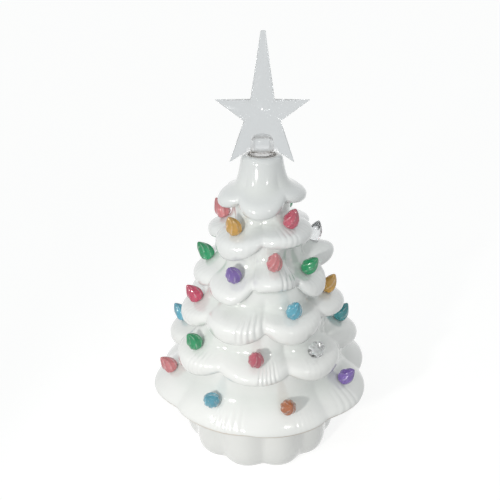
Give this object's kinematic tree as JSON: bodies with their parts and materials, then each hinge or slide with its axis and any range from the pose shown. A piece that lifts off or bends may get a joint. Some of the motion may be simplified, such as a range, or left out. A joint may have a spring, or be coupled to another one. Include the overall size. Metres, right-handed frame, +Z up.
{
  "type": "ceramic christmas tree",
  "caption": "White glazed ceramic table tree of drooping boughs on a scalloped base, with plug-in coloured twist bulbs, a clear star topper and a battery lamp inside.",
  "frame": {"origin": "middle of the base's foot, on the surface that the tree stands on", "axes": "+Z up along the tree's axis to the star's tip, -Y to the front face of the star, +X to its right"},
  "size_m": [0.1294, 0.1226, 0.24],
  "materials": {
    "white_glaze": "clear gloss glaze on white casting",
    "clear_star": "clear moulded plastic",
    "bulb_red": "see-through tinted plastic",
    "bulb_rose": "see-through tinted plastic",
    "bulb_pink": "see-through tinted plastic",
    "bulb_amber": "see-through tinted plastic",
    "bulb_orange": "see-through tinted plastic",
    "bulb_green": "see-through tinted plastic",
    "bulb_blue": "see-through tinted plastic",
    "bulb_teal": "see-through tinted plastic",
    "bulb_purple": "see-through tinted plastic",
    "bulb_clear": "clear moulded plastic",
    "tray_plastic": "fine moulded texture",
    "switch_black": "moulded plastic",
    "cell_sleeve": "printed sleeve on steel can",
    "contact_steel": "plated spring strip",
    "board_white": "white solder mask",
    "led_lens": "clear epoxy",
    "frosted_dome": "frosted",
    "lead_red": "insulated wire",
    "lead_black": "insulated wire"
  },
  "bodies": {
    "base": {"base_shell": "white_glaze", "base_tray": "tray_plastic", "cell_1": "cell_sleeve", "cell_2": "cell_sleeve", "cell_3": "cell_sleeve", "contact_links": "contact_steel", "contact_terminals": "contact_steel", "switch_body": "switch_black", "led_board": "board_white", "leds": "led_lens", "board_screws": "contact_steel", "lamp_dome": "frosted_dome", "lead_battery": "lead_red", "lead_terminal": "lead_black", "lead_switch": "lead_red"},
    "tree": {"tree_shell": "white_glaze"},
    "star": {"star_topper": "clear_star"},
    "door": {"battery_door": "tray_plastic"},
    "switch": {"switch_slider": "switch_black"},
    "bulb_01": {"bulb_01": "bulb_pink"},
    "bulb_02": {"bulb_02": "bulb_amber"},
    "bulb_03": {"bulb_03": "bulb_rose"},
    "bulb_04": {"bulb_04": "bulb_green"},
    "bulb_05": {"bulb_05": "bulb_blue"},
    "bulb_06": {"bulb_06": "bulb_green"},
    "bulb_07": {"bulb_07": "bulb_purple"},
    "bulb_08": {"bulb_08": "bulb_pink"},
    "bulb_09": {"bulb_09": "bulb_green"},
    "bulb_10": {"bulb_10": "bulb_clear"},
    "bulb_11": {"bulb_11": "bulb_red"},
    "bulb_12": {"bulb_12": "bulb_amber"},
    "bulb_13": {"bulb_13": "bulb_blue"},
    "bulb_14": {"bulb_14": "bulb_red"},
    "bulb_15": {"bulb_15": "bulb_blue"},
    "bulb_16": {"bulb_16": "bulb_amber"},
    "bulb_17": {"bulb_17": "bulb_purple"},
    "bulb_18": {"bulb_18": "bulb_green"},
    "bulb_19": {"bulb_19": "bulb_clear"},
    "bulb_20": {"bulb_20": "bulb_blue"},
    "bulb_21": {"bulb_21": "bulb_green"},
    "bulb_22": {"bulb_22": "bulb_rose"},
    "bulb_23": {"bulb_23": "bulb_clear"},
    "bulb_24": {"bulb_24": "bulb_teal"},
    "bulb_25": {"bulb_25": "bulb_pink"},
    "bulb_26": {"bulb_26": "bulb_purple"},
    "bulb_27": {"bulb_27": "bulb_amber"},
    "bulb_28": {"bulb_28": "bulb_pink"},
    "bulb_29": {"bulb_29": "bulb_blue"},
    "bulb_30": {"bulb_30": "bulb_orange"},
    "bulb_31": {"bulb_31": "bulb_purple"},
    "bulb_32": {"bulb_32": "bulb_green"},
    "bulb_33": {"bulb_33": "bulb_red"},
    "bulb_34": {"bulb_34": "bulb_clear"},
    "bulb_35": {"bulb_35": "bulb_teal"}
  },
  "joints": [
    {"name": "tree_lift", "type": "slide", "parent": "base", "child": "tree", "axis": [0, 0, 1], "range_m": [0, 0.06]},
    {"name": "star_pull", "type": "slide", "parent": "tree", "child": "star", "axis": [0, 0, 1], "range_m": [0, 0.02]},
    {"name": "door_hinge", "type": "hinge", "parent": "base", "child": "door", "pos_m": [0, -0.02265, 0.0035], "axis": [-1, 0, 0], "range_deg": [0, 100]},
    {"name": "switch_slide", "type": "slide", "parent": "base", "child": "switch", "axis": [0, 1, 0], "range_m": [0, 0.003]},
    {"name": "bulb_01_pull", "type": "slide", "parent": "tree", "child": "bulb_01", "axis": [-0.4643, 0.1331, 0.8756], "range_m": [0, 0.008]},
    {"name": "bulb_02_pull", "type": "slide", "parent": "tree", "child": "bulb_02", "axis": [-0.3305, -0.3802, 0.8639], "range_m": [0, 0.008]},
    {"name": "bulb_03_pull", "type": "slide", "parent": "tree", "child": "bulb_03", "axis": [0.2643, -0.2834, 0.9219], "range_m": [0, 0.008]},
    {"name": "bulb_04_pull", "type": "slide", "parent": "tree", "child": "bulb_04", "axis": [0.2748, 0.3275, 0.904], "range_m": [0, 0.008]},
    {"name": "bulb_05_pull", "type": "slide", "parent": "tree", "child": "bulb_05", "axis": [-0.125, 0.4665, 0.8756], "range_m": [0, 0.008]},
    {"name": "bulb_06_pull", "type": "slide", "parent": "tree", "child": "bulb_06", "axis": [-0.6145, 0, 0.7889], "range_m": [0, 0.008]},
    {"name": "bulb_07_pull", "type": "slide", "parent": "tree", "child": "bulb_07", "axis": [-0.2975, -0.5366, 0.7897], "range_m": [0, 0.008]},
    {"name": "bulb_08_pull", "type": "slide", "parent": "tree", "child": "bulb_08", "axis": [0.0848, -0.3988, 0.9131], "range_m": [0, 0.008]},
    {"name": "bulb_09_pull", "type": "slide", "parent": "tree", "child": "bulb_09", "axis": [0.5012, -0.338, 0.7966], "range_m": [0, 0.008]},
    {"name": "bulb_10_pull", "type": "slide", "parent": "tree", "child": "bulb_10", "axis": [0.3186, 0.0736, 0.945], "range_m": [0, 0.008]},
    {"name": "bulb_11_pull", "type": "slide", "parent": "tree", "child": "bulb_11", "axis": [0.3328, 0.4934, 0.8036], "range_m": [0, 0.008]},
    {"name": "bulb_12_pull", "type": "slide", "parent": "tree", "child": "bulb_12", "axis": [-0.0466, 0.5321, 0.8454], "range_m": [0, 0.008]},
    {"name": "bulb_13_pull", "type": "slide", "parent": "tree", "child": "bulb_13", "axis": [-0.4, 0.4142, 0.8175], "range_m": [0, 0.008]},
    {"name": "bulb_14_pull", "type": "slide", "parent": "tree", "child": "bulb_14", "axis": [-0.5383, -0.1442, 0.8303], "range_m": [0, 0.008]},
    {"name": "bulb_15_pull", "type": "slide", "parent": "tree", "child": "bulb_15", "axis": [0.2072, -0.4247, 0.8813], "range_m": [0, 0.008]},
    {"name": "bulb_16_pull", "type": "slide", "parent": "tree", "child": "bulb_16", "axis": [0.4082, -0.072, 0.91], "range_m": [0, 0.008]},
    {"name": "bulb_17_pull", "type": "slide", "parent": "tree", "child": "bulb_17", "axis": [0.391, 0.3646, 0.8451], "range_m": [0, 0.008]},
    {"name": "bulb_18_pull", "type": "slide", "parent": "tree", "child": "bulb_18", "axis": [-0.0356, 0.5095, 0.8597], "range_m": [0, 0.008]},
    {"name": "bulb_19_pull", "type": "slide", "parent": "tree", "child": "bulb_19", "axis": [-0.4325, 0.3143, 0.8451], "range_m": [0, 0.008]},
    {"name": "bulb_20_pull", "type": "slide", "parent": "tree", "child": "bulb_20", "axis": [-0.5715, 0.05, 0.8191], "range_m": [0, 0.008]},
    {"name": "bulb_21_pull", "type": "slide", "parent": "tree", "child": "bulb_21", "axis": [-0.4342, -0.3392, 0.8345], "range_m": [0, 0.008]},
    {"name": "bulb_22_pull", "type": "slide", "parent": "tree", "child": "bulb_22", "axis": [-0.0376, -0.5378, 0.8423], "range_m": [0, 0.008]},
    {"name": "bulb_23_pull", "type": "slide", "parent": "tree", "child": "bulb_23", "axis": [0.3467, -0.4282, 0.8345], "range_m": [0, 0.008]},
    {"name": "bulb_24_pull", "type": "slide", "parent": "tree", "child": "bulb_24", "axis": [0.4743, 0.0166, 0.8802], "range_m": [0, 0.008]},
    {"name": "bulb_25_pull", "type": "slide", "parent": "tree", "child": "bulb_25", "axis": [0.4094, 0.3687, 0.8345], "range_m": [0, 0.008]},
    {"name": "bulb_26_pull", "type": "slide", "parent": "tree", "child": "bulb_26", "axis": [0.0288, 0.5502, 0.8345], "range_m": [0, 0.008]},
    {"name": "bulb_27_pull", "type": "slide", "parent": "tree", "child": "bulb_27", "axis": [-0.3615, 0.4158, 0.8345], "range_m": [0, 0.008]},
    {"name": "bulb_28_pull", "type": "slide", "parent": "tree", "child": "bulb_28", "axis": [-0.6007, -0.1609, 0.7831], "range_m": [0, 0.008]},
    {"name": "bulb_29_pull", "type": "slide", "parent": "tree", "child": "bulb_29", "axis": [-0.3597, -0.6231, 0.6945], "range_m": [0, 0.008]},
    {"name": "bulb_30_pull", "type": "slide", "parent": "tree", "child": "bulb_30", "axis": [0.1879, -0.7012, 0.6878], "range_m": [0, 0.008]},
    {"name": "bulb_31_pull", "type": "slide", "parent": "tree", "child": "bulb_31", "axis": [0.5074, -0.2929, 0.8104], "range_m": [0, 0.008]},
    {"name": "bulb_32_pull", "type": "slide", "parent": "tree", "child": "bulb_32", "axis": [0.5065, 0.1646, 0.8464], "range_m": [0, 0.008]},
    {"name": "bulb_33_pull", "type": "slide", "parent": "tree", "child": "bulb_33", "axis": [0.3474, 0.6017, 0.7192], "range_m": [0, 0.008]},
    {"name": "bulb_34_pull", "type": "slide", "parent": "tree", "child": "bulb_34", "axis": [-0.184, 0.6867, 0.7032], "range_m": [0, 0.008]},
    {"name": "bulb_35_pull", "type": "slide", "parent": "tree", "child": "bulb_35", "axis": [-0.6017, 0.3474, 0.7192], "range_m": [0, 0.008]}
  ]
}
